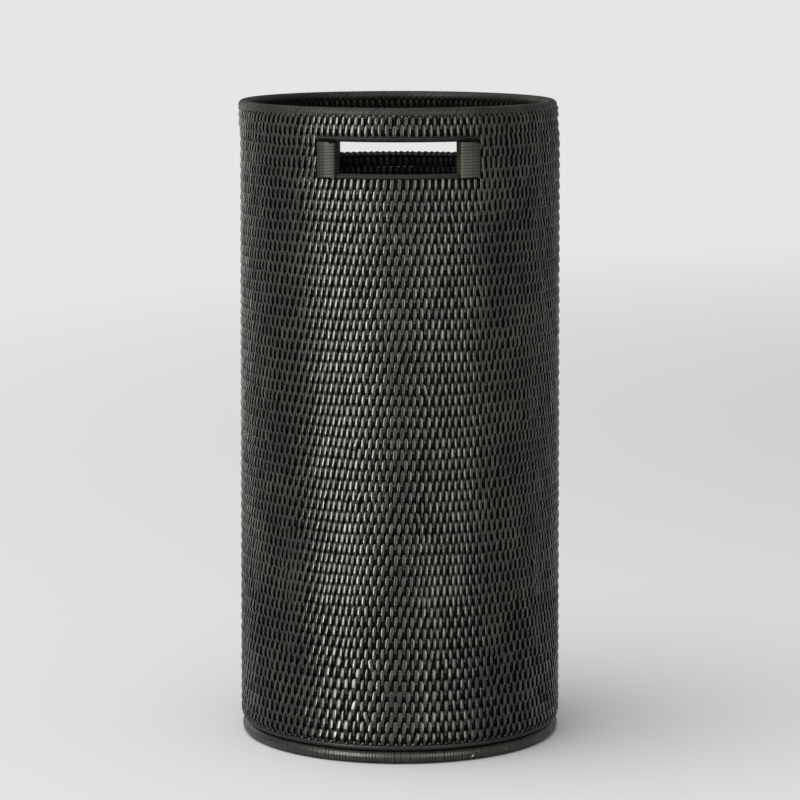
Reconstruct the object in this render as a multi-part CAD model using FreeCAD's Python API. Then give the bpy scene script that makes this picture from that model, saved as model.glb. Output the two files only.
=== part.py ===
import FreeCAD, Part

import math
import os

from FreeCAD import Vector

# An umbrella stand of coiled, black-stained rattan. Each row of the round wall is a hoop of
# rattan core, and the rows are lashed together by stitches of rattan peel. Two hand holes,
# front and back, are let into the wall near the top. The front faces -Y and +Z is up.
# The origin is the middle of the foot ring, on the ground. Millimetres.

# The whole stand
HEIGHT = 508.0
RADIUS_AT_GROUND = 128.85  # over the stitches, if the wall ran down to the ground
RADIUS_AT_TOP = 126.7

# The woven rows of the wall
ROW_PITCH = 8.26
FIRST_ROW_BOTTOM = 15.8
ROWS_BELOW_HOLES = 53
ROWS_BESIDE_HOLES = 4
CORE_RADIUS = 3.3
CORE_CLEARANCE = 0.15  # between a core and the stitching that wraps it
PEEL_THICKNESS = 0.5
STITCH_BULGE = 0.8  # how far a stitch stands out at the middle of its row
BULGE_OUTLINE = ((0.25, 0.75), (0.5, 1.0), (0.75, 0.75))  # share of the row's height, share of the bulge
ROWS_PER_CORE_LENGTH = 5  # a rattan length of about 4 m goes round five times

# The rows above the hand holes, which close in on the rim
TOP_ROW_CORE_RADIUS = 2.65
TOP_ROW_HEIGHT = 5.8
TOP_ROWS_SHIFT = -1.2  # the hand-built top leans a little towards -X

# The rim
RIM_CORE_RADIUS = 3.3
RIM_LASHING_THICKNESS = 0.6
RIM_RADIUS = 122.1
RIM_SHIFT = -1.9
RIM_OPEN_DEGREES = 100.0  # the lashing is open below, where it dives into the top row

# The foot ring and the thin coil above it
FOOT_CORE_RADIUS = 4.5
FOOT_WINDING_THICKNESS = 0.7
FOOT_RING_RADIUS = 122.3
FOOT_FLAT = 0.1  # worn off the underside, so that the ring stands flat
FOOT_OPEN_DEGREES = 60.0  # the winding is open above, hidden under the floor
BRAD_ANGLES = (-54.0, 40.5, 130.0, 220.0)
BRAD_HEAD_RADIUS = 1.0
BRAD_HEAD_PROUD = 0.25
BASE_COIL_RADIUS = 2.25
BASE_COIL_RING_RADIUS = 124.8
BASE_COIL_Z = 13.0

# The woven floor
FLOOR_CORE_RADIUS = 2.9
FLOOR_MIDDLE_Z = 13.9
FLOOR_EDGE_RADIUS = 119.2
FLOOR_PEEL_THICKNESS = 0.45
FLOOR_KNOT_RADIUS = 4.6

# The hand holes. Angles go round from the front, towards +X.
HOLE_FLOOR_Z = 457.6
HOLE_ROOF_Z = 481.9
POST_DEPTH_PROUD = 0.8  # how far a post stands out of the wall, outside
POST_DEPTH_INSIDE = 0.3
POST_WINDING_THICKNESS = 0.7
POST_CORNER_RADIUS = 2.6
SILL_DEPTH = 9.0
SILL_CORNER_RADIUS = 1.6
FRONT_POSTS = {"left": (-26.6, 15.8), "right": (25.2, 17.0)}  # middle angle and width
BACK_POSTS = {"left": (-152.1, 14.8), "right": (153.5, 14.8)}
JOINT_GAP = 0.3  # left where a row or a sill ends against a post
LAYER_GAP = 0.02  # left where one piece lies on the next
SILL_END_DEGREES = 0.3  # how much of a post's gap a roof sill leaves uncovered
CUT_MARGIN = 1.0  # how far a cutting shape reaches past what it cuts

# The drip tray
TRAY_RADIUS = 113.5
TRAY_BASE_RADIUS = 109.0
TRAY_HEIGHT = 22.0
TRAY_THICKNESS = 1.0
TRAY_BEAD_RADIUS = 1.4
TRAY_LIFT_CLEARANCE = 0.4

# Sizes that follow from those above
SKIN_THICKNESS = CORE_CLEARANCE + PEEL_THICKNESS + STITCH_BULGE
HOLE_ROWS_BOTTOM = FIRST_ROW_BOTTOM + ROWS_BELOW_HOLES * ROW_PITCH
HOLE_ROWS_TOP = HOLE_ROWS_BOTTOM + ROWS_BESIDE_HOLES * ROW_PITCH
TOP_ROW_BOTTOM = HOLE_ROWS_TOP + ROW_PITCH
TOP_ROW_TOP = TOP_ROW_BOTTOM + TOP_ROW_HEIGHT
RIM_Z = HEIGHT - RIM_CORE_RADIUS - RIM_LASHING_THICKNESS
FOOT_RADIUS = FOOT_CORE_RADIUS + FOOT_WINDING_THICKNESS
FOOT_Z = FOOT_RADIUS - FOOT_FLAT
FLOOR_TOP = FLOOR_MIDDLE_Z + FLOOR_CORE_RADIUS + CORE_CLEARANCE + FLOOR_PEEL_THICKNESS
Z_AXIS = Vector(0, 0, 1)


def wall_radius(z):
    """The radius over the outer stitches at height z."""
    return RADIUS_AT_GROUND + (RADIUS_AT_TOP - RADIUS_AT_GROUND) * z / HEIGHT


def core_line_radius(z):
    """The radius of the middle of a row's core at height z."""
    return wall_radius(z) - SKIN_THICKNESS - CORE_RADIUS


def row_edges(bottom, count):
    """The heights of the lines between rows, from the bottom of the first to the top of the last."""
    return [bottom + ROW_PITCH * i for i in range(count + 1)]


def point(radius, z):
    return Vector(radius, 0, z)


def line(start, end):
    return Part.makeLine(start, end)


def arc(start, middle, end):
    return Part.Arc(start, middle, end).toShape()


def turned(edges, first_angle=0.0, last_angle=360.0, shift=0.0):
    """A solid turned about Z from a closed outline in the XZ plane, between two angles from the front."""
    face = Part.Face(Part.Wire(edges))
    solid = face.revolve(Vector(0, 0, 0), Z_AXIS, last_angle - first_angle)
    solid.rotate(Vector(0, 0, 0), Z_AXIS, first_angle - 90.0)
    solid.translate(Vector(shift, 0, 0))
    return solid


def circle_edges(radius, z, section_radius):
    centre = point(radius, z)
    return [Part.Circle(centre, Vector(0, -1, 0), section_radius).toShape()]


def hoop(radius, z, section_radius, shift=0.0):
    """A full ring of round rattan."""
    return Part.makeTorus(radius, section_radius, Vector(shift, 0, z), Z_AXIS)


def wall_rows(edges):
    return [hoop(core_line_radius(z), z, CORE_RADIUS) for z in middles(edges)]


def middles(edges):
    return [(low + high) / 2 for low, high in zip(edges, edges[1:])]


def bowed_side(edges, base_radius, bulge):
    """The bowed face of the stitching, from the top row down. Each row bows out of the valley line."""
    corners = []
    for low, high in reversed(list(zip(edges, edges[1:]))):
        corners.append(point(base_radius(high), high))
        for height_share, bulge_share in reversed(BULGE_OUTLINE):
            z = low + height_share * (high - low)
            corners.append(point(base_radius(z) + bulge_share * bulge, z))
    corners.append(point(base_radius(edges[0]), edges[0]))
    return [line(start, end) for start, end in zip(corners, corners[1:])]


def stitching(edges, side, first_angle=0.0, last_angle=360.0, shift=0.0):
    """The lashing on one face of the wall, a sleeve with one bulge per row. side is 1 outside, -1 inside."""
    bottom, top = edges[0], edges[-1]

    def valley(z):
        return core_line_radius(z) + side * (CORE_RADIUS + CORE_CLEARANCE + PEEL_THICKNESS)

    def against_cores(z):
        return core_line_radius(z) + side * (CORE_RADIUS + CORE_CLEARANCE)

    core_side = [point(against_cores(z), z) for z in edges]
    outline = [line(point(valley(bottom), bottom), core_side[0])]
    outline += [line(start, end) for start, end in zip(core_side, core_side[1:])]
    outline.append(line(core_side[-1], point(valley(top), top)))
    outline += bowed_side(edges, valley, side * STITCH_BULGE)
    return turned(outline, first_angle, last_angle, shift)


def open_sleeve(radius, z, inner, outer, open_degrees, opens_upwards, shift=0.0):
    """A winding round a hoop: a tube bent to a ring, with a lengthwise gap above or below."""
    half = math.radians(open_degrees / 2)
    gap_middle = math.pi / 2 if opens_upwards else -math.pi / 2
    start, end = gap_middle + half, gap_middle - half + 2 * math.pi

    def at(section_radius, angle):
        return point(radius + section_radius * math.cos(angle), z + section_radius * math.sin(angle))

    halfway = (start + end) / 2
    outline = [
        arc(at(outer, start), at(outer, halfway), at(outer, end)),
        line(at(outer, end), at(inner, end)),
        arc(at(inner, end), at(inner, halfway), at(inner, start)),
        line(at(inner, start), at(outer, start)),
    ]
    return turned(outline, shift=shift)


def rounded_bar(radius, z_bottom, z_top, first_angle, last_angle):
    """A curved bar of rounded rectangular section, centred on a radius."""
    inner, outer, corner = radius - SILL_DEPTH / 2, radius + SILL_DEPTH / 2, SILL_CORNER_RADIUS
    bar = turned(
        [
            line(point(inner, z_bottom), point(outer, z_bottom)),
            line(point(outer, z_bottom), point(outer, z_top)),
            line(point(outer, z_top), point(inner, z_top)),
            line(point(inner, z_top), point(inner, z_bottom)),
        ],
        first_angle,
        last_angle,
    )
    rounded = [edge for edge in bar.Edges if isinstance(edge.Curve, Part.Circle)]
    return bar.makeFillet(corner, rounded)


def rounded_block(width, inner, outer, z_bottom, z_top, corner, angle):
    """An upright block with rounded corners that spans radii inner to outer, turned to an angle."""
    block = Part.makeBox(outer - inner, width, z_top - z_bottom, Vector(inner, -width / 2, z_bottom))
    upright = [edge for edge in block.Edges if abs(edge.tangentAt(edge.FirstParameter).z) > 0.9]
    block = block.makeFillet(corner, upright)
    block.rotate(Vector(0, 0, 0), Z_AXIS, angle - 90.0)
    return block


def post_half_angle(width):
    """How far round the wall a post reaches from its middle, with the gap beside it."""
    inner_radius = wall_radius(HOLE_FLOOR_Z) - 2 * (SKIN_THICKNESS + CORE_RADIUS)
    return math.degrees(math.asin((width / 2 + JOINT_GAP) / inner_radius))


def foot_ring():
    ground = Part.makeBox(2 * HEIGHT, 2 * HEIGHT, FOOT_RADIUS, Vector(-HEIGHT, -HEIGHT, -FOOT_RADIUS))
    winding = open_sleeve(
        FOOT_RING_RADIUS,
        FOOT_Z,
        FOOT_CORE_RADIUS + CORE_CLEARANCE / 2,
        FOOT_RADIUS,
        FOOT_OPEN_DEGREES,
        opens_upwards=True,
    )
    return {
        "foot_ring_core": hoop(FOOT_RING_RADIUS, FOOT_Z, FOOT_CORE_RADIUS),
        "foot_ring_winding": winding.cut(ground),
        "foot_ring_brads": Part.makeCompound([brad(angle) for angle in BRAD_ANGLES]),
    }


def brad(angle):
    """A small round nail head that lies on the ring's winding, looking outwards."""
    head = Part.makeCylinder(
        BRAD_HEAD_RADIUS,
        BRAD_HEAD_PROUD,
        Vector(FOOT_RING_RADIUS + FOOT_RADIUS + LAYER_GAP, 0, FOOT_Z),
        Vector(1, 0, 0),
    )
    head.rotate(Vector(0, 0, 0), Z_AXIS, angle - 90.0)
    return head


def floor_panel():
    """A flat coil of thinner core round a middle knot, with a disc of stitching above and below."""
    outermost = FLOOR_EDGE_RADIUS - PEEL_THICKNESS - FLOOR_CORE_RADIUS
    turns = int(outermost // ROW_PITCH)
    coils = [hoop(outermost - ROW_PITCH * i, FLOOR_MIDDLE_Z, FLOOR_CORE_RADIUS) for i in range(turns)]
    coils.append(
        Part.makeCylinder(
            FLOOR_KNOT_RADIUS, 2 * FLOOR_CORE_RADIUS, Vector(0, 0, FLOOR_MIDDLE_Z - FLOOR_CORE_RADIUS)
        )
    )
    reach = FLOOR_CORE_RADIUS + CORE_CLEARANCE
    top = Vector(0, 0, FLOOR_MIDDLE_Z + reach)
    under = Vector(0, 0, FLOOR_MIDDLE_Z - reach - FLOOR_PEEL_THICKNESS)
    return {
        "floor_coil": Part.makeCompound(coils),
        "floor_stitching_top": Part.makeCylinder(FLOOR_EDGE_RADIUS, FLOOR_PEEL_THICKNESS, top),
        "floor_stitching_under": Part.makeCylinder(FLOOR_EDGE_RADIUS, FLOOR_PEEL_THICKNESS, under),
    }


def lower_wall():
    """The rows below the hand holes. Every few rows are one length of rattan core."""
    edges = row_edges(FIRST_ROW_BOTTOM, ROWS_BELOW_HOLES)
    nodes = {}
    for number, first in enumerate(range(0, ROWS_BELOW_HOLES, ROWS_PER_CORE_LENGTH), start=1):
        rows = wall_rows(edges[first : first + ROWS_PER_CORE_LENGTH + 1])
        nodes[f"wall_coil_{number:02d}"] = Part.makeCompound(rows)
    nodes["wall_stitching_outer"] = stitching(edges, 1)
    nodes["wall_stitching_inner"] = stitching(edges, -1)
    return nodes


def side_wall(name, first_post, last_post):
    """The rows on one side, between a front and a back post, each given as (middle angle, width)."""
    first = first_post[0] + post_half_angle(first_post[1])
    last = last_post[0] - post_half_angle(last_post[1])
    edges = row_edges(HOLE_ROWS_BOTTOM + LAYER_GAP, ROWS_BESIDE_HOLES)
    rows = [
        turned(circle_edges(core_line_radius(z), z, CORE_RADIUS), first, last) for z in middles(edges)
    ]
    return {
        f"side_coil_{name}": Part.makeCompound(rows),
        f"side_stitching_{name}_outer": stitching(edges, 1, first, last),
        f"side_stitching_{name}_inner": stitching(edges, -1, first, last),
    }


def top_rows():
    """The two full rows above the hand holes. The last is a thinner core, tucked under the rim."""
    edges = [HOLE_ROWS_TOP + 2 * LAYER_GAP, TOP_ROW_BOTTOM, TOP_ROW_TOP]
    lower, upper = middles(edges)
    rows = [
        hoop(core_line_radius(lower), lower, CORE_RADIUS, TOP_ROWS_SHIFT),
        hoop(core_line_radius(upper), upper, TOP_ROW_CORE_RADIUS, TOP_ROWS_SHIFT),
    ]
    return {
        "top_coil": Part.makeCompound(rows),
        "top_stitching_outer": stitching(edges, 1, shift=TOP_ROWS_SHIFT),
        "top_stitching_inner": stitching(edges, -1, shift=TOP_ROWS_SHIFT),
    }


def rim():
    lashing = open_sleeve(
        RIM_RADIUS,
        RIM_Z,
        RIM_CORE_RADIUS + CORE_CLEARANCE / 2,
        RIM_CORE_RADIUS + RIM_LASHING_THICKNESS,
        RIM_OPEN_DEGREES,
        opens_upwards=False,
        shift=RIM_SHIFT,
    )
    return {
        "rim_core": hoop(RIM_RADIUS, RIM_Z, RIM_CORE_RADIUS, RIM_SHIFT),
        "rim_lashing": lashing,
    }


def post(name, angle, width):
    """A short upright core wound with peel, which the ends of the side rows butt against."""
    bottom, top = HOLE_ROWS_BOTTOM + JOINT_GAP, HOLE_ROOF_Z - JOINT_GAP / 3
    outer = wall_radius(HOLE_FLOOR_Z) + POST_DEPTH_PROUD
    inner = wall_radius(HOLE_FLOOR_Z) - 2 * (SKIN_THICKNESS + CORE_RADIUS) - POST_DEPTH_INSIDE
    winding, slack = POST_WINDING_THICKNESS, CORE_CLEARANCE / 3
    core = rounded_block(
        width - 2 * winding,
        inner + winding,
        outer - winding,
        bottom,
        top,
        POST_CORNER_RADIUS - winding,
        angle,
    )
    hollow = rounded_block(
        width - 2 * (winding - slack),
        inner + winding - slack,
        outer - winding + slack,
        bottom - CUT_MARGIN,
        top + CUT_MARGIN,
        POST_CORNER_RADIUS - winding + slack,
        angle,
    )
    sleeve = rounded_block(width, inner, outer, bottom, top, POST_CORNER_RADIUS, angle)
    return {f"{name}_post_core": core, f"{name}_post_winding": sleeve.cut(hollow)}


def hand_hole(name, posts):
    """Two posts, a roof sill that lies over both, and a floor sill between them."""
    (left_angle, left_width), (right_angle, right_width) = posts["left"], posts["right"]
    if left_angle < -90.0:
        # The back hole: going round the same way, its right post comes first.
        first, last = (right_angle, right_width), (left_angle + 360.0, left_width)
    else:
        first, last = (left_angle, left_width), (right_angle, right_width)
    radius = core_line_radius(HOLE_FLOOR_Z)
    first_half, last_half = post_half_angle(first[1]), post_half_angle(last[1])
    roof_start = first[0] - first_half + SILL_END_DEGREES
    roof_end = last[0] + last_half - SILL_END_DEGREES
    floor_start = first[0] + first_half
    floor_end = last[0] - last_half
    roof_top = HOLE_ROWS_TOP - LAYER_GAP
    floor_bottom = HOLE_ROWS_BOTTOM + JOINT_GAP / 3
    nodes = {
        f"{name}_top_sill": rounded_bar(radius, HOLE_ROOF_Z, roof_top, roof_start, roof_end),
        f"{name}_bottom_sill": rounded_bar(radius, floor_bottom, HOLE_FLOOR_Z, floor_start, floor_end),
    }
    nodes.update(post(f"{name}_left", left_angle, left_width))
    nodes.update(post(f"{name}_right", right_angle, right_width))
    return nodes


def drip_tray():
    """A shallow round dish with a beaded edge, which stands loose on the woven floor."""
    bottom = FLOOR_TOP + TRAY_LIFT_CLEARANCE
    inside_bottom = bottom + TRAY_THICKNESS
    bead_z = bottom + TRAY_HEIGHT - TRAY_BEAD_RADIUS
    bead_ring_radius = TRAY_RADIUS - TRAY_BEAD_RADIUS
    corners = [
        point(0, bottom),
        point(TRAY_BASE_RADIUS, bottom),
        point(bead_ring_radius + TRAY_THICKNESS / 2, bead_z),
        point(bead_ring_radius - TRAY_THICKNESS / 2, bead_z),
        point(TRAY_BASE_RADIUS - TRAY_THICKNESS, inside_bottom),
        point(0, inside_bottom),
    ]
    shell = turned([line(start, end) for start, end in zip(corners, corners[1:] + corners[:1])])
    bead = hoop(bead_ring_radius, bead_z, TRAY_BEAD_RADIUS)
    return shell.fuse(bead).removeSplitter()


def umbrella_stand():
    nodes = {}
    nodes.update(foot_ring())
    nodes["base_coil"] = hoop(BASE_COIL_RING_RADIUS, BASE_COIL_Z, BASE_COIL_RADIUS)
    nodes.update(floor_panel())
    nodes.update(lower_wall())
    nodes.update(side_wall("right", FRONT_POSTS["right"], BACK_POSTS["right"]))
    nodes.update(side_wall("left", BACK_POSTS["left"], FRONT_POSTS["left"]))
    nodes.update(hand_hole("front", FRONT_POSTS))
    nodes.update(hand_hole("back", BACK_POSTS))
    nodes.update(top_rows())
    nodes.update(rim())
    nodes["drip_tray"] = drip_tray()
    return nodes


os.makedirs("parts", exist_ok=True)
for name, shape in umbrella_stand().items():
    shape.exportStep(f"parts/{name}.step")
    print(f"{name}: {len(shape.Solids)} solids, {shape.Volume / 1000:.1f} cm3, valid {shape.isValid()}")
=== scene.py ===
import math

import bmesh
import bpy
import numpy as np
from mathutils import Matrix, Vector


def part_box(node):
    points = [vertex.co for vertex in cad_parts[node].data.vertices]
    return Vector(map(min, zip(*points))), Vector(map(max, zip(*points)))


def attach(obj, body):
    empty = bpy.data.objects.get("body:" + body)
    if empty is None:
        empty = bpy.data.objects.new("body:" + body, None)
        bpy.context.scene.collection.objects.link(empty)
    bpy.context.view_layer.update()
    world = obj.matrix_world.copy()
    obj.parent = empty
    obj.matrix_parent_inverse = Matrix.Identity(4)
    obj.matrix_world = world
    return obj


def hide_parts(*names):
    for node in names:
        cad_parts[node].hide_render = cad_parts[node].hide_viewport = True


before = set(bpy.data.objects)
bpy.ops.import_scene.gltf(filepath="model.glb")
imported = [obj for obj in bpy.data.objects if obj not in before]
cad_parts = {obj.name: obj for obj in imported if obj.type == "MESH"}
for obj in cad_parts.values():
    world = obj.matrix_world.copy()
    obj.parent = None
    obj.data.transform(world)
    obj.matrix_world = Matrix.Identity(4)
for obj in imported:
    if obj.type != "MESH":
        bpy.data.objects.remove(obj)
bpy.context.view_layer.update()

# An umbrella stand of coiled rattan, lashed with narrow stitches of rattan peel and stained black.
# Shapes are worked out in millimetres and turned to metres when a piece is made.
# Angles are degrees round the stand from its front (-Y), growing towards +X.

MM = 0.001
HAND = np.random.default_rng(57)  # draws every small difference between one stitch and the next


def box(node):
    """The lowest and highest corner of a CAD node, in millimetres."""
    low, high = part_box(node)
    return low / MM, high / MM


# The wall, measured on its own stitching
WALL_ROWS = 53
ROWS_BESIDE_HOLES = 4
WALL_DEPTH = 9.5  # from the crest of the outer stitches to that of the inner ones
CORE_RADIUS = 3.3
TOP_CORE_RADIUS = 2.65  # the last hoop under the rim is thinner
SILL_HALF_DEPTH = 4.2
wall_low, wall_high = box("wall_stitching_outer")
top_low, top_high = box("top_stitching_outer")
ROW_PITCH = (wall_high.z - wall_low.z) / WALL_ROWS
RADIUS_LOW = wall_high.x
RADIUS_HIGH = (top_high.x - top_low.x) / 2
RADIUS_SLOPE = (RADIUS_HIGH - RADIUS_LOW) / (top_low.z - wall_low.z)
TOP_SHIFT = (top_high.x + top_low.x) / 2

# How many stitches go round each row, from the bottom row up
STITCH_COUNTS = [122] * 8 + [136] * 5 + [156] * 7 + [150] * 39
WIDE_ROWS = 8  # the lowest rows have the broad, uneven stitches
OUTER_SECTORS = 8
INNER_SECTORS = 4

# One outer stitch: millimetres below its head, millimetres in from the crest, half width
OUTER_STITCH = (
    (-0.9, 3.2, 0.8),
    (-0.3, 1.6, 1.05),
    (0.5, 1.08, 1.2),
    (2.2, 0.68, 1.28),
    (4.1, 0.28, 1.28),
    (5.9, 0.0, 1.22),
    (7.5, 0.25, 1.12),
    (9.0, 1.15, 1.0),
    (10.9, 1.4, 0.92),
    (12.0, 2.9, 0.7),
)
INNER_STITCH = (
    (-0.6, 2.6, 0.85),
    (0.7, 0.5, 1.1),
    (3.2, 0.0, 1.2),
    (6.8, 0.5, 1.15),
    (12.0, 2.4, 0.8),
)
STITCH_HALF_THICKNESS = 0.42
STITCH_LEAN = 0.065  # millimetres sideways for each millimetre up
LEAN_SPREAD = 0.035
KINKED_SHARE = 0.02  # the share of stitches that twist out of line and show paler
KINK_SPREAD = 0.2
KINK_TONE = 0.12
SWELL_SPREAD = 0.12  # as a share of how far a stitch stands out
HEAD_SPREAD = 0.22
TONE_SPREAD = 0.09
# Along each wall stitch, the crown is rubbed paler, which also paints a highlight there. The tail is darkened
# with painted shade where it dives between the heads of the row below.
WEAR_AND_PAINTED_LIGHT_PLACES = (0.0, 4.0, 7.0, 9.0)  # millimetres below a stitch's head
WEAR_AND_PAINTED_LIGHT_TONES = (0.0, 0.05, -0.02, -0.28)
CRISP_EDGE = math.radians(60)  # split peel has crisp edges beside its crowned face

# The rows that aren't whole: how long and wide their stitches are, as shares of the others, and how uneven
EVEN, UNEVEN, VERY_UNEVEN = 0.07, 0.16, 0.2
WIDE_STITCH = 1.16
LOWEST_ROW_LENGTH = 0.74
TOP_ROW_LENGTH = 0.8
FOOT_HEADS = (0.2, 0.8, VERY_UNEVEN)
RIM_HEADS = (0.3, 0.8, VERY_UNEVEN)
POST_GAPS = (1.3, 0.62)  # degrees from a post to a row's end stitch, in even and in odd rows

# The slow waves of the rows: their height in millimetres, how many go round the stand, and the height in
# millimetres over which a wave drifts by one radian
ROW_WAVES = ((0.45, 2, 47), (0.3, 5, -29), (0.2, 9, 13))
LEVEL_FOOT = 22  # the rows lie level below this height
LEVEL_HOLES = 446  # and above this one
WAVE_FADE = 40
LEAN_START = 478  # the top of the wall leans to one side from this height
LEAN_RISE = 12

# The rim's lashing. Angles round a hoop's section are degrees, 0 outwards and 90 up.
RIM_TURNS = 146
RIM_SECTION = (-58, 238)
RIM_SLANT = 17.0  # how far along the rim one turn moves
RIM_HALF_WIDTH = 1.98

# The foot's winding, and where lengths of its peel meet: ten places at the front, and every 11.3 degrees
# round the sides and back.
FOOT_TURNS = 326
FOOT_SECTION = (62, -242)
FOOT_SLANT = 1.2
FOOT_HALF_WIDTH = 1.24
FOOT_HALF_THICKNESS = 0.24
FOOT_SEAMS = (-61.5, -42.0, -29.0, -17.6, -7.0, 2.6, 14.8, 20.9, 31.9, 52.8, *np.arange(66.0, 292.0, 11.3))
SEAM_REACH = 0.56  # a turn this near to a seam is part of it

# The posts' winding
POST_TURN = 2.42  # the height of one turn
POST_HALF_THICKNESS = 0.36
POST_CORNER_RADIUS = 2.6
POST_CROWN = 0.7  # how far the turns bow out at the front

# The lashing over the back sill
SILL_TURN = 2.4
SILL_HALF_THICKNESS = 0.4
SILL_GAP = 0.3  # between the sill and the middle of its lashing

# The floor's stitches
FLOOR_SPACING = 5.6
FLOOR_KNOT = 14  # no stitches within this radius


# Materials


def colour(hex_code):
    """The linear RGBA of an sRGB hex code."""
    parts = [int(hex_code[i : i + 2], 16) / 255 for i in (0, 2, 4)]
    linear = [c / 12.92 if c <= 0.04045 else ((c + 0.055) / 1.055) ** 2.4 for c in parts]
    return (*linear, 1.0)


def add(material, kind, sockets=None, **settings):
    """Adds a node with its settings. Each socket gets a value, or a link from another node's output."""
    node = material.node_tree.nodes.new("ShaderNode" + kind)
    for setting, value in settings.items():
        setattr(node, setting, value)
    for socket, value in (sockets or {}).items():
        if isinstance(value, bpy.types.NodeSocket):
            material.node_tree.links.new(value, node.inputs[socket])
        else:
            node.inputs[socket].default_value = value
    return node


def new_material(name):
    material = bpy.data.materials.new(name)
    material.use_nodes = True
    material.node_tree.nodes.clear()
    return material


def finish_material(material, shader):
    add(material, "OutputMaterial", {"Surface": shader.outputs[0]})
    return material


def stained_peel(name, stains, smoothest, roughest, shine):
    """Split rattan peel, stained black. The skin of the cane is smooth, so it shines softly along each
    strand, and the stain is thinner on some strands and on their worn crests, which also carry a painted
    highlight. The tails of the wall's stitches are darkened with painted shade. Outside it has a satin
    varnish, which hands have dulled on the rim and posts. Inside it has none, so it is dull there, and darker
    stains are passed in for it as painted shade."""
    m = new_material(name)
    place = add(m, "Attribute", attribute_name="peel_place")
    tone = add(m, "Attribute", attribute_name="tone")
    own = add(m, "TexCoord")
    # Cane fibres are about 0.2 mm wide. They are drawn 0.5 mm wide, so that they show.
    stretched = add(m, "Mapping", {"Vector": place.outputs["Vector"], "Scale": (2.0, 0.12, 1.0)})
    fibres = add(m, "TexNoise", {"Vector": stretched.outputs[0], "Scale": 1.0, "Detail": 3.0})
    # Patches of thinner stain, about 40 mm across.
    patches = add(m, "TexNoise", {"Vector": own.outputs["Object"], "Scale": 25.0, "Detail": 2.0})
    # The stain's depth comes from the patches and from each strand's tone, which carries its painted
    # highlight and painted shade.
    depth = add(m, "Math", {0: tone.outputs["Fac"], 1: patches.outputs[0]}, operation="ADD")
    streaked = add(m, "Math", {0: fibres.outputs[0], 1: 0.5, 2: depth.outputs[0]}, operation="MULTIPLY_ADD")
    stain = add(m, "ValToRGB", {0: streaked.outputs[0]})
    ramp = stain.color_ramp
    ramp.elements[0].position = 0.5
    ramp.elements[0].color = colour(stains[0])
    ramp.elements[1].position = 1.0
    ramp.elements[1].color = colour(stains[2])
    middle = ramp.elements.new(0.76)
    middle.color = colour(stains[1])
    # Rubbed crowns are smoother than the tails, where the fibres stand up.
    rubbed = add(
        m,
        "MapRange",
        {
            "Value": tone.outputs["Fac"],
            "From Min": -0.25,
            "From Max": 0.15,
            "To Min": roughest,
            "To Max": smoothest,
        },
    )
    gloss = add(m, "Math", {0: fibres.outputs[0], 1: 0.12, 2: rubbed.outputs[0]}, operation="MULTIPLY_ADD")
    bump = add(m, "Bump", {"Height": fibres.outputs[0], "Strength": 0.2, "Distance": 0.0002})
    shader = add(
        m,
        "BsdfPrincipled",
        {
            "Base Color": stain.outputs[0],
            "Roughness": gloss.outputs[0],
            "Normal": bump.outputs[0],
            "IOR": 1.5,
            "Specular IOR Level": shine,
        },
    )
    return finish_material(m, shader)


def stained_and_shaded_core():
    """Round rattan core under the lashing, stained black and left unvarnished, and darker still as painted
    shade for the holes between the stitches, where it shows. It is dull, with fine pores."""
    m = new_material("black_stained_rattan_core")
    own = add(m, "TexCoord")
    # Pores are about 0.3 mm. They are drawn 1.2 mm wide.
    pores = add(m, "TexNoise", {"Vector": own.outputs["Object"], "Scale": 800.0, "Detail": 2.0})
    # Near black and darker than the peel's stain: the black stain, with painted shade for the holes between
    # the stitches.
    stain = add(m, "ValToRGB", {0: pores.outputs[0]})
    stain.color_ramp.elements[0].position = 0.35
    stain.color_ramp.elements[0].color = colour("020202")
    stain.color_ramp.elements[1].position = 0.7
    stain.color_ramp.elements[1].color = colour("060605")
    bump = add(m, "Bump", {"Height": pores.outputs[0], "Strength": 0.3, "Distance": 0.0003})
    shader = add(
        m,
        "BsdfPrincipled",
        {
            "Base Color": stain.outputs[0],
            "Roughness": 0.85,
            "Normal": bump.outputs[0],
            "IOR": 1.5,
            "Specular IOR Level": 0.08,
        },
    )
    return finish_material(m, shader)


def stained_sill():
    """A shaved rattan sill round a hand hole, stained black, varnished and smoothed by hands. Faint grain
    runs along it."""
    m = new_material("black_stained_shaved_rattan")
    own = add(m, "TexCoord")
    # The grain runs level, so it is stretched sideways: lines about 1 mm apart.
    flat = add(m, "Mapping", {"Vector": own.outputs["Object"], "Scale": (60.0, 60.0, 900.0)})
    grain = add(m, "TexNoise", {"Vector": flat.outputs[0], "Scale": 1.0, "Detail": 3.0})
    stain = add(m, "ValToRGB", {0: grain.outputs[0]})
    stain.color_ramp.elements[0].position = 0.3
    stain.color_ramp.elements[0].color = colour("070806")
    stain.color_ramp.elements[1].position = 0.75
    stain.color_ramp.elements[1].color = colour("11120F")
    gloss = add(
        m,
        "MapRange",
        {"Value": grain.outputs[0], "From Min": 0.3, "From Max": 0.7, "To Min": 0.45, "To Max": 0.6},
    )
    bump = add(m, "Bump", {"Height": grain.outputs[0], "Strength": 0.3, "Distance": 0.0002})
    shader = add(
        m,
        "BsdfPrincipled",
        {
            "Base Color": stain.outputs[0],
            "Roughness": gloss.outputs[0],
            "Normal": bump.outputs[0],
            "IOR": 1.5,
            "Specular IOR Level": 0.35,
        },
    )
    return finish_material(m, shader)


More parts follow.
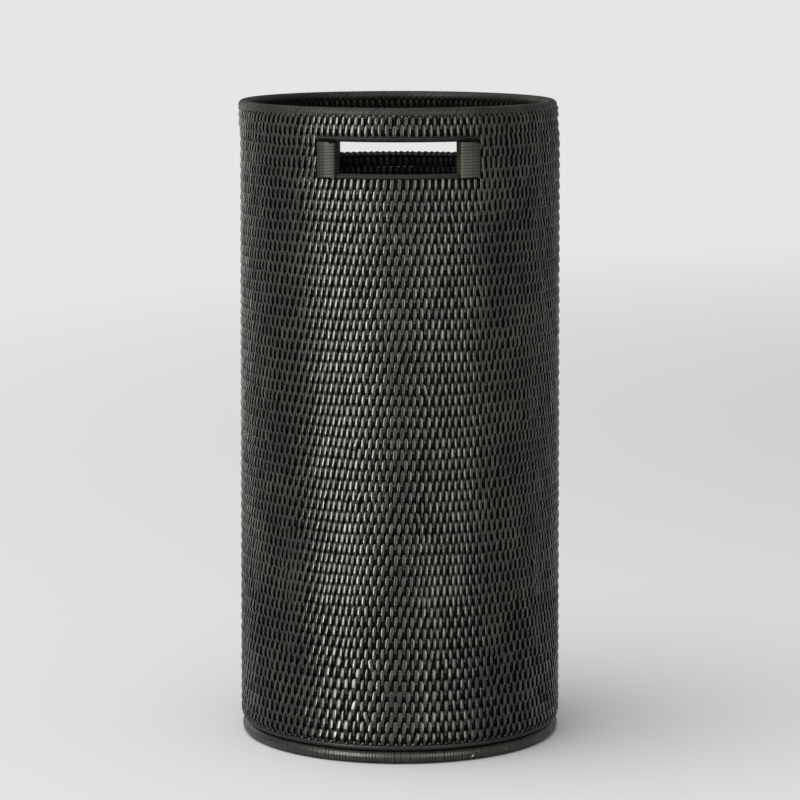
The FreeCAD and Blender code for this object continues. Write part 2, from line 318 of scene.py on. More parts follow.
def blackened_steel():
    """Small steel nail heads, blackened, with bright metal showing where the hammer landed."""
    m = new_material("blackened_steel")
    own = add(m, "TexCoord")
    # Hammer scuffs about 0.6 mm across.
    scuffs = add(m, "TexNoise", {"Vector": own.outputs["Object"], "Scale": 1600.0, "Detail": 2.0})
    metal = add(m, "ValToRGB", {0: scuffs.outputs[0]})
    metal.color_ramp.elements[0].position = 0.45
    metal.color_ramp.elements[0].color = colour("3A3B3C")
    metal.color_ramp.elements[1].position = 0.7
    metal.color_ramp.elements[1].color = colour("8C8D8E")
    bump = add(m, "Bump", {"Height": scuffs.outputs[0], "Strength": 0.3, "Distance": 0.0001})
    shader = add(
        m,
        "BsdfPrincipled",
        {"Base Color": metal.outputs[0], "Metallic": 1.0, "Roughness": 0.4, "Normal": bump.outputs[0]},
    )
    return finish_material(m, shader)


def bare_rattan():
    """A splinter of unstained rattan, where the foot has been knocked. Pale and dry."""
    m = new_material("bare_rattan")
    own = add(m, "TexCoord")
    # Fibres about 0.4 mm wide.
    fibres = add(m, "TexNoise", {"Vector": own.outputs["Object"], "Scale": 2500.0, "Detail": 2.0})
    cane = add(m, "ValToRGB", {0: fibres.outputs[0]})
    cane.color_ramp.elements[0].position = 0.35
    cane.color_ramp.elements[0].color = colour("A39A86")
    cane.color_ramp.elements[1].position = 0.65
    cane.color_ramp.elements[1].color = colour("D8D2C2")
    bump = add(m, "Bump", {"Height": fibres.outputs[0], "Strength": 0.3, "Distance": 0.0001})
    shader = add(
        m,
        "BsdfPrincipled",
        {"Base Color": cane.outputs[0], "Roughness": 0.65, "Normal": bump.outputs[0], "IOR": 1.5},
    )
    return finish_material(m, shader)


def charcoal_enamel():
    """Vitreous enamel on a pressed steel tray. Glossy and slightly rippled, with fine pale specks and duller
    patches where water has dried."""
    m = new_material("charcoal_enamel")
    own = add(m, "TexCoord")
    # Specks about 0.8 mm across, one every 4 mm or so.
    specks = add(m, "TexVoronoi", {"Vector": own.outputs["Object"], "Scale": 260.0})
    ground = add(m, "TexNoise", {"Vector": own.outputs["Object"], "Scale": 30.0, "Detail": 3.0})
    glaze = add(m, "ValToRGB", {0: specks.outputs["Distance"]})
    glaze.color_ramp.elements[0].position = 0.08
    glaze.color_ramp.elements[0].color = colour("8F918C")
    glaze.color_ramp.elements[1].position = 0.13
    glaze.color_ramp.elements[1].color = colour("232524")
    gloss = add(
        m,
        "MapRange",
        {"Value": ground.outputs[0], "From Min": 0.35, "From Max": 0.65, "To Min": 0.12, "To Max": 0.3},
    )
    bump = add(m, "Bump", {"Height": ground.outputs[0], "Strength": 0.15, "Distance": 0.0008})
    shader = add(
        m,
        "BsdfPrincipled",
        {
            "Base Color": glaze.outputs[0],
            "Roughness": gloss.outputs[0],
            "Normal": bump.outputs[0],
            "IOR": 1.52,
        },
    )
    return finish_material(m, shader)


def pale_floor():
    """A matt studio floor of pale paper, with painted shade: a little greyer on one side of the stand and
    paler far away.
    """
    m = new_material("pale_studio_floor")
    own = add(m, "TexCoord")
    # The painted shade is centred 2.1 m from the stand and fades out 4 m from there.
    shifted = add(
        m,
        "Mapping",
        {"Vector": own.outputs["Object"], "Location": (-0.35, -0.4, 0.0), "Scale": (0.25, 0.25, 0.25)},
    )
    near = add(m, "TexGradient", {"Vector": shifted.outputs[0]}, gradient_type="SPHERICAL")
    paper = add(m, "ValToRGB", {0: near.outputs["Fac"]})
    paper.color_ramp.elements[0].position = 0.38
    paper.color_ramp.elements[0].color = colour("F3F3F3")
    paper.color_ramp.elements[1].position = 0.8
    paper.color_ramp.elements[1].color = colour("D9D9D9")
    middle = paper.color_ramp.elements.new(0.5)
    middle.color = colour("ECECEC")
    shader = add(m, "BsdfPrincipled", {"Base Color": paper.outputs[0], "Roughness": 0.9})
    return finish_material(m, shader)


PEEL = stained_peel("black_stained_rattan_peel", ("050704", "151912", "2A2F24"), 0.12, 0.42, 0.65)
RUBBED_PEEL = stained_peel(
    "hand_rubbed_black_stained_rattan_peel", ("050704", "141811", "292D23"), 0.34, 0.52, 0.34
)
# Inside the stand and round the back sill, the stains are darker than outside: painted shade.
DULL_SHADED_PEEL = stained_peel(
    "unvarnished_black_stained_rattan_peel_with_painted_shade", ("050604", "11130F", "20231D"), 0.55, 0.75, 0.12
)
CORE = stained_and_shaded_core()
SILL = stained_sill()
STEEL = blackened_steel()
BARE = bare_rattan()
ENAMEL = charcoal_enamel()


# Making pieces


def strand(points, outwards, half_widths, half_thicknesses, sides=5):
    """A closed strip of peel along a line of points, as a mesh. Its crowned face looks outwards."""
    bm = bmesh.new()
    across = bm.verts.layers.float.new("across")
    along = bm.verts.layers.float.new("along")
    bmesh.ops.create_circle(bm, cap_ends=True, segments=sides, radius=1.0)
    for vert in bm.verts:
        vert[across] = vert.co.x
    end = bm.faces[:]
    here = Matrix.Identity(4)
    length = 0.0
    last = len(points) - 1
    for i, point in enumerate(points):
        if i > 0:
            made = bmesh.ops.extrude_face_region(bm, geom=end)["geom"]
            end = [part for part in made if isinstance(part, bmesh.types.BMFace)]
            length += (point - points[i - 1]).length
        heading = (points[min(i + 1, last)] - points[max(i - 1, 0)]).normalized()
        side = heading.cross(outwards[i]).normalized()
        up = side.cross(heading)
        there = Matrix((side * half_widths[i], up * half_thicknesses[i], heading)).transposed().to_4x4()
        there.translation = point
        ring = end[0].verts[:]
        bmesh.ops.transform(bm, matrix=there @ here.inverted(), verts=ring)
        for vert in ring:
            vert[along] = length
            vert[across] *= half_widths[i] if i == 0 else half_widths[i] / half_widths[i - 1]
        here = there
    bmesh.ops.recalc_face_normals(bm, faces=bm.faces)
    mesh = bpy.data.meshes.new("strand")
    bm.to_mesh(mesh)
    bm.free()
    return mesh


def copies(one, count):
    """A bmesh of count copies of one strand, one after the other and all in the same place."""
    bm = bmesh.new()
    bm.from_mesh(one)
    sizes = [len(parts) for parts in (bm.verts, bm.edges, bm.faces)]
    made = 1
    while made < count:
        extra = min(made, count - made)
        wanted = []
        for parts, size in zip((bm.verts, bm.edges, bm.faces), sizes):
            parts.ensure_lookup_table()
            wanted += parts[: size * extra]
        bmesh.ops.duplicate(bm, geom=wanted)
        made += extra
    return bm


def coordinates(mesh):
    flat = np.empty(len(mesh.vertices) * 3)
    mesh.vertices.foreach_get("co", flat)
    return flat.reshape(-1, 3)


def move_points(mesh, places):
    mesh.vertices.foreach_set("co", np.ascontiguousarray(places, dtype=np.float32).ravel())
    mesh.update()


def mark(mesh, name, kind, values):
    """Stores one value or vector per point for the material to read."""
    attribute = mesh.attributes.new(name, kind, "POINT")
    field = "vector" if kind == "FLOAT_VECTOR" else "value"
    attribute.data.foreach_set(field, np.ascontiguousarray(values, dtype=np.float32).ravel())


def mark_peel(mesh, one, tones, wear_and_painted_light=0.0):
    """Gives each copy of a strand its own tone and its own stretch of the fibre pattern. The last argument is
    rubbed wear with a painted highlight and painted shade, and it is added to the tone point by point along
    each copy."""
    across = np.empty(len(one.vertices))
    along = np.empty(len(one.vertices))
    one.attributes["across"].data.foreach_get("value", across)
    one.attributes["along"].data.foreach_get("value", along)
    count = len(tones)
    place = np.empty((count, len(across), 3))
    place[:, :, 0] = across
    place[:, :, 1] = along
    place[:, :, 2] = np.arange(count)[:, None] * 7.3
    mark(mesh, "peel_place", "FLOAT_VECTOR", place)
    mark(mesh, "tone", "FLOAT", tones[:, None] + np.broadcast_to(wear_and_painted_light, len(across)))


def to_mesh(bm, name):
    mesh = bpy.data.meshes.new(name)
    bm.to_mesh(mesh)
    bm.free()
    return mesh


def piece(name, mesh, material, slot, body, *nodes):
    """Makes a finished piece from a mesh in millimetres, riding on a body and standing for CAD nodes."""
    mesh.name = name
    mesh.transform(Matrix.Scale(MM, 4))
    mesh.materials.append(material)
    mesh.shade_smooth()
    mesh.set_sharp_from_angle(angle=CRISP_EDGE)
    made = bpy.data.objects.new(name, mesh)
    bpy.context.scene.collection.objects.link(made)
    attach(made, body)
    if nodes:
        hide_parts(*nodes)
    return made


# The woven wall


def wall_radius(z):
    """The radius over the outer stitches at height z."""
    return RADIUS_LOW + (z - wall_low.z) * RADIUS_SLOPE


def hand_made(angles, z):
    """How far the rows wander up and down at a place on the wall: a slow wave that dies out at the foot and
    at the hand holes, where the rows meet straight pieces."""
    a = np.radians(angles)
    wave = sum(high * np.sin(count * a + z / drift) for high, count, drift in ROW_WAVES)
    near_foot = np.clip((z - LEVEL_FOOT) / WAVE_FADE, 0, 1)
    near_holes = np.clip((LEVEL_HOLES - z) / WAVE_FADE, 0, 1)
    return wave * near_foot * near_holes


def lean_of_top(z):
    """The top of the wall leans a little to one side."""
    return TOP_SHIFT * np.clip((z - LEAN_START) / LEAN_RISE, 0, 1)


def stitch_angles():
    """The angle of every stitch, row by row. Each stitch goes between two of the row below it, and where a
    row has more of them, some gaps take two."""
    rows = [np.arange(STITCH_COUNTS[0]) * 360 / STITCH_COUNTS[0]]
    for count in STITCH_COUNTS[1:]:
        below = rows[-1]
        gaps = np.diff(np.append(below, below[0] + 360))
        between = below + gaps / 2 + HAND.normal(0, 0.13, len(below))
        extra = count - len(between)
        changes = abs(extra)
        chosen = (np.arange(changes) + HAND.random(changes) * 0.6) * len(between) / max(changes, 1)
        chosen = chosen.astype(int)
        if extra > 0:
            between = np.append(between, between[chosen] + gaps[chosen] / 2)
        if extra < 0:
            between = np.delete(between, chosen)
        between = np.sort(between % 360)
        # Even out the gaps, and more so where the number of stitches changes.
        for _ in range(4 if extra else 1):
            spread = np.concatenate([between[-1:] - 360, between, between[:1] + 360])
            between = 0.7 * between + 0.15 * (spread[:-2] + spread[2:])
        rows.append(np.sort(between % 360))
    return rows


def wall_stitch(outline, side):
    """One upright stitch at angle 0 with its head at height 0. side is 1 outside and -1 inside."""
    points = [
        Vector((0, side * (depth + STITCH_HALF_THICKNESS), -below)) for below, depth, _ in outline
    ]
    outwards = [Vector((0, -side, 0))] * len(outline)
    widths = [half_width for _, _, half_width in outline]
    thickness = [STITCH_HALF_THICKNESS] * len(outline)
    return strand(points, outwards, widths, thickness)


def lay_stitches(name, one, rows, crest_depth, finish, *nodes):
    """Lays stitches on the wall. Each row is (head height, angles, length share, width share, unevenness)."""
    heads = np.concatenate([np.full(len(angles), head) for head, angles, *_ in rows])
    angles = np.concatenate([row[1] for row in rows])
    lengths = np.concatenate([np.full(len(row[1]), row[2]) for row in rows])
    widths = np.concatenate([np.full(len(row[1]), row[3]) for row in rows])
    uneven = np.concatenate([np.full(len(row[1]), row[4]) for row in rows])
    count = len(angles)
    mesh = to_mesh(copies(one, count), name)
    x, y, z = (values[None, :] for values in coordinates(one).T)
    kinked = HAND.random(count) < KINKED_SHARE
    lean = STITCH_LEAN + HAND.normal(0, LEAN_SPREAD, count) + kinked * HAND.normal(0, KINK_SPREAD, count)
    widths = widths * np.clip(1 + HAND.normal(0, 1, count) * uneven, 0.55, 1.3)
    swell = 1 + HAND.normal(0, SWELL_SPREAD, count)
    heads = heads + HAND.normal(0, HEAD_SPREAD, count)
    tones = HAND.normal(0, TONE_SPREAD, count) + kinked * KINK_TONE
    # The crowns are rubbed a little paler, with a painted highlight on them, and the tails are darkened with
    # painted shade where they dive between the heads of the row below.
    wear_and_painted_light = np.interp(-z[0], WEAR_AND_PAINTED_LIGHT_PLACES, WEAR_AND_PAINTED_LIGHT_TONES)
    z = z * lengths[:, None]
    sideways = x * widths[:, None] + lean[:, None] * (z + 3)
    height = heads[:, None] + z
    height = height + hand_made(angles[:, None], height)
    radius = wall_radius(height) - crest_depth - y * swell[:, None]
    turn = np.radians(angles)[:, None]
    places = np.empty((count, x.shape[1], 3))
    places[:, :, 0] = radius * np.sin(turn) + sideways * np.cos(turn) + lean_of_top(height)
    places[:, :, 1] = -radius * np.cos(turn) + sideways * np.sin(turn)
    places[:, :, 2] = height
    move_points(mesh, places)
    mark_peel(mesh, one, tones, wear_and_painted_light)
    return piece(name, mesh, finish, "rattan_peel", "stand", *nodes)


def within(rows, first, last):
    """The same rows with only the stitches from one angle to another."""
    kept = []
    for head, angles, *rest in rows:
        round_from_first = (angles - first) % 360
        chosen = round_from_first < (last - first)
        if chosen.any():
            kept.append((head, angles[chosen], *rest))
    return kept


def between_posts(rows, first, last):
    """The same rows from one post to another, eased so that their end stitches stand by the posts."""
    fitted = []
    for i, (head, angles, *rest) in enumerate(within(rows, first, last)):
        round_from_first = np.sort((angles - first) % 360)
        inset = POST_GAPS[i % 2]
        eased = np.interp(round_from_first, round_from_first[[0, -1]], (inset, last - first - inset))
        fitted.append((head, first + eased, *rest))
    return fitted


def span(node):
    """The first and last angle of a CAD node that reaches less than half way round."""
    places = coordinates(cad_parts[node].data)
    middle = places.mean(axis=0)
    centre = math.degrees(math.atan2(middle[0], -middle[1]))
    offsets = (np.degrees(np.arctan2(places[:, 0], -places[:, 1])) - centre + 180) % 360 - 180
    return centre + offsets.min(), centre + offsets.max()


def weave():
    angles = stitch_angles()
    row_tops = [wall_low.z + ROW_PITCH * (i + 1) + HAND.normal(0, 0.16) for i in range(len(angles))]
    shapes = []
    for i in range(len(angles)):
        wide = i < WIDE_ROWS
        width, uneven = (WIDE_STITCH, UNEVEN) if wide else (1.0, EVEN)
        shapes.append((row_tops[i], angles[i], 1.0, width, uneven))
    # The lowest row is short, and tiny heads of the foot's own lashing stand between its tails.
    head, row, _, width, uneven = shapes[0]
    shapes[0] = (head, row, LOWEST_ROW_LENGTH, width, uneven)
    heads_at_foot = (wall_low.z + 1.0, row + 180 / len(row), *FOOT_HEADS)
    # The last row is thinner, and the rim closes over it.
    _, row, _, width, uneven = shapes[-1]
    shapes[-1] = (top_high.z + 0.3, row, TOP_ROW_LENGTH, width, uneven)
    heads_at_rim = (top_high.z + 2.2, row + 180 / len(row), *RIM_HEADS)
    lower = [heads_at_foot] + shapes[:WALL_ROWS]
    beside = shapes[WALL_ROWS : WALL_ROWS + ROWS_BESIDE_HOLES]
    above = shapes[WALL_ROWS + ROWS_BESIDE_HOLES :] + [heads_at_rim]
    for side, outline, sectors, depth, face, finish in (
        (1, OUTER_STITCH, OUTER_SECTORS, 0.0, "outer", PEEL),
        (-1, INNER_STITCH, INNER_SECTORS, WALL_DEPTH, "inner", DULL_SHADED_PEEL),
    ):
        one = wall_stitch(outline, side)
        for sector in range(sectors):
            first = sector * 360 / sectors - 180 / sectors
            rows = within(lower, first, first + 360 / sectors)
            name = f"wall_peel_{face}_{sector + 1}"
            lay_stitches(name, one, rows, depth, finish, f"wall_stitching_{face}")
        for hand in ("left", "right"):
            node = f"side_stitching_{hand}_{face}"
            rows = between_posts(beside, *span(node))
            lay_stitches(f"side_peel_{hand}_{face}", one, rows, depth, finish, node)
        lay_stitches(f"top_peel_{face}", one, above, depth, finish, f"top_stitching_{face}")


def bend_core(bm, ring_radius, z, radius, depth, height, first=0.0, last=360.0):
    """Adds one length of rattan core, bent round the stand from one angle to another."""
    whole = bool(last - first >= 360)
    section = Matrix.Diagonal((1, depth, height, 1)) @ Matrix.Rotation(math.pi / 2, 4, "Y")
    placed = Matrix.Rotation(math.radians(first), 4, "Z") @ Matrix.Translation((0, -ring_radius, z)) @ section
    made = bmesh.ops.create_circle(bm, cap_ends=not whole, segments=8, radius=radius, matrix=placed)
    parts = set(made["verts"])
    for vert in made["verts"]:
        parts.update(vert.link_edges)
        parts.update(vert.link_faces)
    bmesh.ops.spin(
        bm,
        geom=list(parts),
        cent=(0, 0, 0),
        axis=(0, 0, 1),
        angle=math.radians(last - first),
        steps=max(round((last - first) / 3), 2),
        use_merge=whole,
    )


def hoops(
    name, heights, node, radius=CORE_RADIUS, first=0.0, last=360.0, depth=0.97, height=1.235, finish=CORE
):
    """Lengths of rattan core that follow the rows as they wander. depth and height are shares of the radius,
    and the hoops are tall enough that they all but touch."""
    bm = bmesh.new()
    for z in heights:
        bend_core(bm, wall_radius(z) - WALL_DEPTH / 2, z, radius, depth, height, first, last)
    bmesh.ops.recalc_face_normals(bm, faces=bm.faces)
    mesh = to_mesh(bm, name)
    places = coordinates(mesh)
    angles = np.degrees(np.arctan2(places[:, 0], -places[:, 1]))
    places[:, 2] += hand_made(angles, places[:, 2])
    places[:, 0] += lean_of_top(places[:, 2])
    move_points(mesh, places)
    return piece(name, mesh, finish, "rattan_core", "stand", node)


def row_middles(low, high, radius):
    """The heights of the rows in a CAD coil."""
    count = round((high.z - low.z - 2 * radius) / ROW_PITCH) + 1
    return [low.z + radius + ROW_PITCH * i for i in range(count)]


def cores():
    for node in sorted(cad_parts):
        low, high = box(node)
        name = node.replace("coil", "core")
        if node.startswith("wall_coil_"):
            hoops(name, row_middles(low, high, CORE_RADIUS), node)
        if node.startswith("side_coil_"):
            hoops(name, row_middles(low, high, CORE_RADIUS), node, CORE_RADIUS, *span(node))
        if node.endswith("_sill"):
            radius = (high.z - low.z) / 2
            depth = SILL_HALF_DEPTH / radius
            # A little taller than its solid, and moved away from the hole to make room.
            middle = (low.z + high.z) / 2 + (0.3 if "top" in node else -0.3)
            hoops(
                node + "_bar", [middle], node, radius, *span(node), depth=depth, height=1.14, finish=SILL
            )
    low, high = box("top_coil")
    hoops("top_core_lower", [low.z + CORE_RADIUS], "top_coil")
    hoops("top_core_upper", [high.z - TOP_CORE_RADIUS], "top_coil", TOP_CORE_RADIUS)


def floor_cores():
    """The flat coil of the floor, round a knot at its middle."""
    low, high = box("floor_coil")
    radius = (high.z - low.z) / 2
    middle = (high.z + low.z) / 2
    bm = bmesh.new()
    ring = high.x - radius
    while ring > ROW_PITCH:
        bend_core(bm, ring, middle, radius, 1.0, 1.0)
        ring -= ROW_PITCH
    knot = Matrix.Translation((0, 0, middle)) @ Matrix.Diagonal((1.6, 1.6, 1.0, 1.0))
    bmesh.ops.create_uvsphere(bm, u_segments=16, v_segments=8, radius=radius, matrix=knot)
    bmesh.ops.recalc_face_normals(bm, faces=bm.faces)
    piece("floor_core", to_mesh(bm, "floor_core"), CORE, "rattan_core", "stand", "floor_coil")


# Windings round a hoop


def wrap(ring_radius, z, tube_radius, start, end, advance, steps, half_width, half_thickness, sides):
    """One turn of peel round a hoop at angle 0, from one angle of its section to another (0 outwards, 90 up).
    advance is how far along the hoop it moves, in millimetres."""
    points = []
    outwards = []
    for i in range(steps + 1):
        share = i / steps
        lift = math.radians(start + (end - start) * share)
        turn = advance * (share - 0.5) / ring_radius
        out = Vector((math.cos(lift) * math.sin(turn), -math.cos(lift) * math.cos(turn), math.sin(lift)))
        centre = Vector((ring_radius * math.sin(turn), -ring_radius * math.cos(turn), z))
        points.append(centre + out * (tube_radius - half_thickness))
        outwards.append(out)
    return strand(points, outwards, [half_width] * (steps + 1), [half_thickness] * (steps + 1), sides)


def wind(name, one, angles, tones, widths, finish, *nodes, shift=0.0, floor=None):
    """Lays turns of peel round a hoop, each at its own angle."""
    mesh = to_mesh(copies(one, len(angles)), name)
    local = coordinates(one)
    middle = np.degrees(np.arctan2(local[:, 0], -local[:, 1])).mean()
    turn = np.radians(angles)[:, None]
    reach = np.hypot(local[:, 0], local[:, 1])[None, :]
    own = np.arctan2(local[:, 0], -local[:, 1])[None, :]
    across = np.empty(len(one.vertices))
    one.attributes["across"].data.foreach_get("value", across)
    # A narrower turn is drawn in towards its own middle line.
    own = own - np.radians(middle) + (widths[:, None] - 1) * across[None, :] / reach
    places = np.empty((len(angles), len(local), 3))
    places[:, :, 0] = reach * np.sin(turn + own) + shift
    places[:, :, 1] = -reach * np.cos(turn + own)
    places[:, :, 2] = local[None, :, 2]
    if floor is not None:
        places[:, :, 2] = np.maximum(places[:, :, 2], floor)
    move_points(mesh, places)
    mark_peel(mesh, one, tones)
    return piece(name, mesh, finish, "rattan_peel", "stand", *nodes)


def rim():
    low, high = box("rim_core")
    core = (high.z - low.z) / 2
    radius = (high.x - low.x) / 2 - core
    middle = (low.z + high.z) / 2
    thickness = (box("rim_lashing")[1].z - high.z) / 2 + 0.12
    strip = {"steps": 14, "half_width": RIM_HALF_WIDTH, "half_thickness": thickness, "sides": 8}
    one = wrap(radius, middle, core + 0.6, *RIM_SECTION, RIM_SLANT, **strip)
    angles = np.arange(RIM_TURNS) * 360 / RIM_TURNS + HAND.normal(0, 0.12, RIM_TURNS)
    tones = HAND.normal(-0.1, 0.03, RIM_TURNS)
    widths = 1 + HAND.normal(0, 0.03, RIM_TURNS)
    wind("rim_peel", one, angles, tones, widths, RUBBED_PEEL, "rim_lashing", shift=(high.x + low.x) / 2)


def foot():
    low, high = box("foot_ring_core")
    core = (high.z - low.z) / 2
    radius = (high.x - low.x) / 2 - core
    middle = (high.z + low.z) / 2
    strip = {"steps": 11, "half_width": FOOT_HALF_WIDTH, "half_thickness": FOOT_HALF_THICKNESS, "sides": 6}
    one = wrap(radius, middle, core + 0.7, *FOOT_SECTION, FOOT_SLANT, **strip)
    angles = np.arange(FOOT_TURNS) * 360 / FOOT_TURNS + HAND.normal(0, 0.04, FOOT_TURNS)
    away = np.abs((angles[:, None] - np.array(FOOT_SEAMS)[None, :] + 180) % 360 - 180).min(axis=1)
    # A seam is a thin dark turn, and the turns beside it spread to close the gap.
    seam = away < SEAM_REACH
    tones = HAND.normal(-0.13, 0.02, FOOT_TURNS) - seam * 0.45
    beside_seam = np.roll(seam, 1) | np.roll(seam, -1)
    widths = 1 + HAND.normal(0, 0.02, FOOT_TURNS) - seam * 0.85 + beside_seam * 0.2
    wind("foot_peel", one, angles, tones, widths, PEEL, "foot_ring_winding", floor=0.0)


def sill_lashing():
    """The row under the back hand hole is lashed over its sill, so that the hole's lower edge is bumpy."""
    low, high = box("back_bottom_sill")
    middle = (low.z + high.z) / 2
    half_height = (high.z - low.z) / 2
    ring = wall_radius(middle) - WALL_DEPTH / 2
    points = []
    outwards = []
    for lift in range(-60, 241, 30):
        a = math.radians(lift)
        out = Vector((0, -math.cos(a), math.sin(a)))
        reach = Vector((0, out.y * (SILL_HALF_DEPTH + SILL_GAP), out.z * (half_height + SILL_GAP)))
        points.append(reach + Vector((0, -ring, middle)))
        outwards.append(out)
    stations = len(points)
    one = strand(points, outwards, [SILL_TURN / 2] * stations, [SILL_HALF_THICKNESS] * stations)
    first, last = span("back_bottom_sill")
    count = round((last - first) / SILL_TURN)
    angles = first + (np.arange(count) + 0.5) * (last - first) / count + HAND.normal(0, 0.15, count)
    widths = 1 + HAND.normal(0, 0.1, count)
    wind("back_sill_peel", one, angles, HAND.normal(-0.05, 0.06, count), widths, DULL_SHADED_PEEL)


def posts():
    """Each post's peel is one long strip, wound level from the sill below the hole to the one above it."""
    for node in sorted(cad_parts):
        if not node.endswith("_post_winding"):
            continue
        low, high = box(node)
        places = coordinates(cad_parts[node].data) / MM
        middle = places.mean(axis=0)
        angle = math.atan2(middle[0], -middle[1])
        level = Matrix.Rotation(-angle, 3, "Z")
        local = places @ np.array(level.transposed())
        width = local[:, 0].max() - local[:, 0].min()
        front, back = local[:, 1].min(), local[:, 1].max()
        winding(node.replace("winding", "peel"), node, angle, width, front, back, low.z, high.z)


def winding(name, node, angle, width, front, back, bottom, top):
    """One post's strip, round a section that is width wide and reaches from front to back."""
    turns = round((top - bottom) / POST_TURN)
    corner = POST_CORNER_RADIUS - POST_HALF_THICKNESS
    half = width / 2 - POST_HALF_THICKNESS - corner
    near, far = front + POST_HALF_THICKNESS + corner, back - POST_HALF_THICKNESS - corner
    corners = ((half, near, -90), (half, far, 0), (-half, far, 90), (-half, near, 180))
    points = []
    outwards = []
    step = (top - bottom) / turns
    for turn in range(turns):
        stations = []
        for centre_x, centre_y, first in corners:
            for more in (0, 30, 60, 90):
                a = math.radians(first + more)
                stations.append((centre_x, centre_y, Vector((math.cos(a), math.sin(a), 0))))
        # Across the front, the turns bow outwards a little.
        for share, tilt in ((-0.6, -12), (0.0, 0), (0.6, 12)):
            a = math.radians(tilt - 90)
            crown = POST_CROWN * (1 - share * share)
            stations.append((share * half, near - crown, Vector((math.cos(a), math.sin(a), 0))))
        for i, (centre_x, centre_y, out) in enumerate(stations):
            z = bottom + step * (turn + i / len(stations))
            z = min(max(z, bottom + step / 2), top - step / 2)
            points.append(Vector((centre_x, centre_y, z)) + out * corner)
            outwards.append(out)
    # Each turn is a little wider than its step, so that no core shows between two.
    count = len(points)
    one = strand(points, outwards, [step * 0.52] * count, [POST_HALF_THICKNESS] * count, 6)
    bm = copies(one, 1)
    bmesh.ops.rotate(bm, cent=(0, 0, 0), matrix=Matrix.Rotation(angle, 3, "Z"), verts=bm.verts)
    mesh = to_mesh(bm, name)
    mark_peel(mesh, one, np.array([0.0]))
    return piece(name, mesh, RUBBED_PEEL, "rattan_peel", "stand", node)


def floor_weave():
    """The flat coil of the floor, lashed like the wall with stitches that point to its middle."""
    one = wall_stitch(INNER_STITCH, 1)
    _, top = box("floor_stitching_top")
    low, _ = box("floor_stitching_under")
    x, y, z = (values[None, :] for values in coordinates(one).T)
    for name, node, crest, up in (
        ("floor_peel_top", "floor_stitching_top", top.z, 1),
        ("floor_peel_under", "floor_stitching_under", low.z, -1),
    ):
        heads, angles = [], []
        ring = top.x
        row = 0
        while ring > FLOOR_KNOT:
            count = max(int(math.tau * ring / FLOOR_SPACING), 10)
            heads.append(np.full(count, ring))
            angles.append((np.arange(count) + 0.5 * (row % 2)) * 360 / count + HAND.normal(0, 0.3, count))
            ring -= ROW_PITCH
            row += 1
        heads, angles = np.concatenate(heads), np.concatenate(angles)
        count = len(heads)
        mesh = to_mesh(copies(one, count), name)
        reach = heads[:, None] + z
        width = np.clip(reach / heads[:, None], 0.2, 1)
        sideways = x * width + HAND.normal(0, 0.04, count)[:, None] * (z + 3)
        turn = np.radians(angles)[:, None]
        places = np.empty((count, x.shape[1], 3))
        places[:, :, 0] = reach * np.sin(turn) + sideways * np.cos(turn)
        places[:, :, 1] = -reach * np.cos(turn) + sideways * np.sin(turn)
        places[:, :, 2] = crest - up * y
        move_points(mesh, places)
        if up < 0:
            mesh.flip_normals()
        mark_peel(mesh, one, HAND.normal(0, 0.08, count))
        piece(name, mesh, PEEL, "rattan_peel", "stand", node)


def brads():
    """Round nail heads with a low dome, one where each CAD brad is."""
    apart = 10  # the brads stand further from each other than this
    dome = 0.3
    bm = bmesh.new()
    places = coordinates(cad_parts["foot_ring_brads"].data) / MM
    found = []
    for place in places:
        if all(math.dist(place, other) > apart for other in found):
            found.append(place)
    reach = max(math.hypot(place[0], place[1]) for place in places)
    for place in found:
        middle = places[np.linalg.norm(places - place, axis=1) < apart].mean(axis=0)
        angle = math.atan2(middle[0], -middle[1])
        placed = Matrix.Rotation(angle, 4, "Z") @ Matrix.Translation((0, -(reach - dome), middle[2]))
        flattened = placed @ Matrix.Diagonal((1.0, dome, 1.0, 1.0))
        bmesh.ops.create_uvsphere(bm, u_segments=16, v_segments=8, radius=1.0, matrix=flattened)
    bmesh.ops.recalc_face_normals(bm, faces=bm.faces)
    piece("foot_brads", to_mesh(bm, "foot_brads"), STEEL, "brad_steel", "stand", "foot_ring_brads")


def splinter():
    """A chip in the foot ring, where a sliver of bare cane shows."""
    low, high = box("foot_ring_core")
    core = (high.z - low.z) / 2
    radius = (high.x - low.x) / 2 - core
    z = (high.z + low.z) / 2
    angle = math.radians(26.5)
    surface = core + 0.62
    points = []
    outwards = []
    # Each station: degrees up the ring's section, millimetres along the ring
    for rise, along in ((-26, -0.9), (-20, -0.35), (-13, 0.3), (-5, 0.95)):
        lift = math.radians(rise)
        turn = angle + along / radius
        out = Vector((math.cos(lift) * math.sin(turn), -math.cos(lift) * math.cos(turn), math.sin(lift)))
        middle = Vector((radius * math.sin(turn), -radius * math.cos(turn), z))
        points.append(middle + out * surface)
        outwards.append(out)
    one = strand(points, outwards, [0.25, 0.5, 0.42, 0.18], [0.2, 0.24, 0.22, 0.16], 6)
    piece("foot_splinter", one, BARE, "rattan_core", "stand")


def carried_over():
    """Finishes for the CAD nodes. Most are hidden later by the pieces that stand for them. The smooth coil
    over the foot, the tray and the cores inside the windings stay."""
    finishes = {"base_coil": SILL, "drip_tray": ENAMEL}
    for name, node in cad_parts.items():
        node.data.materials.clear()
        node.data.materials.append(finishes.get(name, CORE))


# The studio


def hang(name, lamp, place, away, unlit=None):
    """Hangs a lamp at a place, facing back along the direction away. The lamp itself is never seen. unlit is
    a collection of what it doesn't light."""
    holder = bpy.data.objects.new(name, lamp)
    holder.location = place
    holder.rotation_euler = away.to_track_quat("Z", "Y").to_euler()
    holder.visible_camera = False
    holder.light_linking.receiver_collection = unlit
    bpy.context.scene.collection.objects.link(holder)


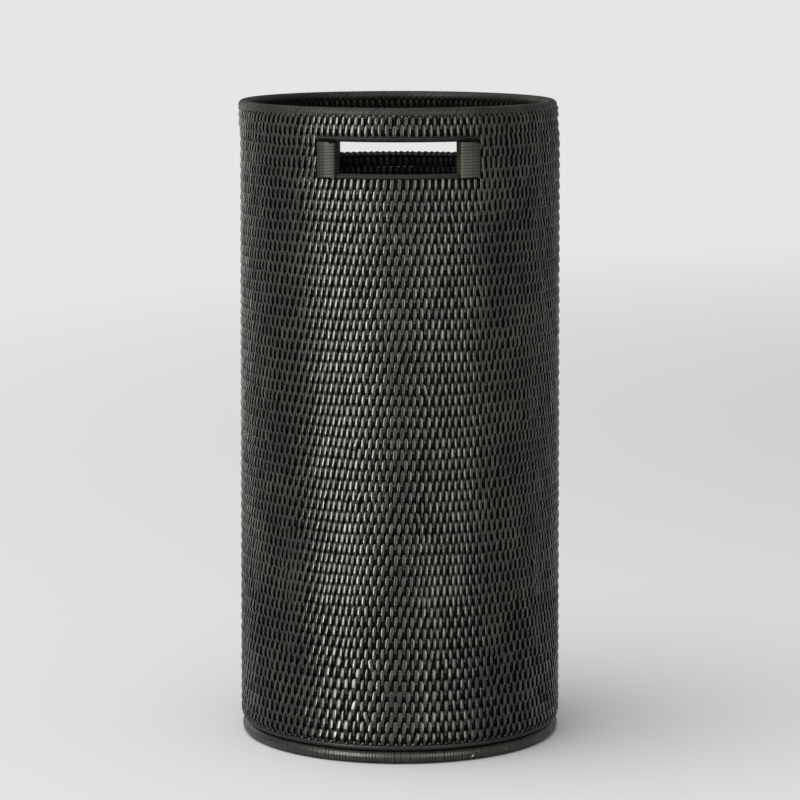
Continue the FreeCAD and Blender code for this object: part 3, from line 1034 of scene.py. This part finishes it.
def studio():
    bm = bmesh.new()
    bmesh.ops.create_circle(bm, cap_ends=True, segments=64, radius=60.0)
    ground = bpy.data.objects.new("studio_floor", to_mesh(bm, "studio_floor"))
    ground.data.materials.append(pale_floor())
    bpy.context.scene.collection.objects.link(ground)
    # The softboxes stand close by, so they are shaded off the floor.
    shaded = bpy.data.collections.new("shaded_floor")
    shaded.objects.link(ground)
    shaded.collection_objects[0].light_linking.link_state = "EXCLUDE"
    world = bpy.data.worlds.new("studio")
    world.use_nodes = True
    world.node_tree.nodes.clear()
    # The studio walls light the stand softly. Seen directly, they are as pale as the floor in front of them.
    light = add(world, "Background", {"Color": colour("FFFFFF"), "Strength": 0.4})
    wall = add(world, "Background", {"Color": colour("E5E5E5"), "Strength": 1.0})
    seen = add(world, "LightPath").outputs["Is Camera Ray"]
    mixed = add(world, "MixShader", {0: seen, 1: light.outputs[0], 2: wall.outputs[0]})
    add(world, "OutputWorld", {"Surface": mixed.outputs[0]})
    bpy.context.scene.world = world
    # Degrees round the stand, metres away, metres up to the middle, width, height, watts
    for name, azimuth, distance, middle, width, height, power in (
        ("softbox_left", -37, 1.75, 0.8, 0.4, 1.5, 38.0),
        ("softbox_right", 28, 1.9, 0.8, 0.5, 1.5, 18.0),
        ("softbox_behind", -140, 2.0, 0.8, 1.0, 1.5, 4.5),
    ):
        lamp = bpy.data.lights.new(name, "AREA")
        lamp.shape = "RECTANGLE"
        lamp.size = width
        lamp.size_y = height
        lamp.energy = power
        lamp.color = colour("FCFFF3")[:3]
        a = math.radians(azimuth)
        away = Vector((math.sin(a), -math.cos(a), 0.0))
        hang(name, lamp, away * distance + Vector((0, 0, middle)), away, shaded)
    overhead = bpy.data.lights.new("overhead", "SUN")
    overhead.angle = math.radians(60)
    overhead.energy = 1.7
    above = Vector((-1.0, -0.6, 3.0))
    hang("overhead", overhead, above, above)
    bpy.context.scene.view_settings.view_transform = "Standard"


def camera():
    view = bpy.data.cameras.new("camera")
    view.lens = 149.8
    view.sensor_width = 36.0
    view.clip_end = 200.0
    holder = bpy.data.objects.new("camera", view)
    holder.location = (0.0, -2.6403, 0.6534)
    holder.rotation_euler = (math.radians(81.68), 0.0, 0.0)
    bpy.context.scene.collection.objects.link(holder)
    bpy.context.scene.camera = holder


carried_over()
weave()
cores()
rim()
foot()
posts()
sill_lashing()
floor_cores()
floor_weave()
brads()
splinter()
studio()
camera()
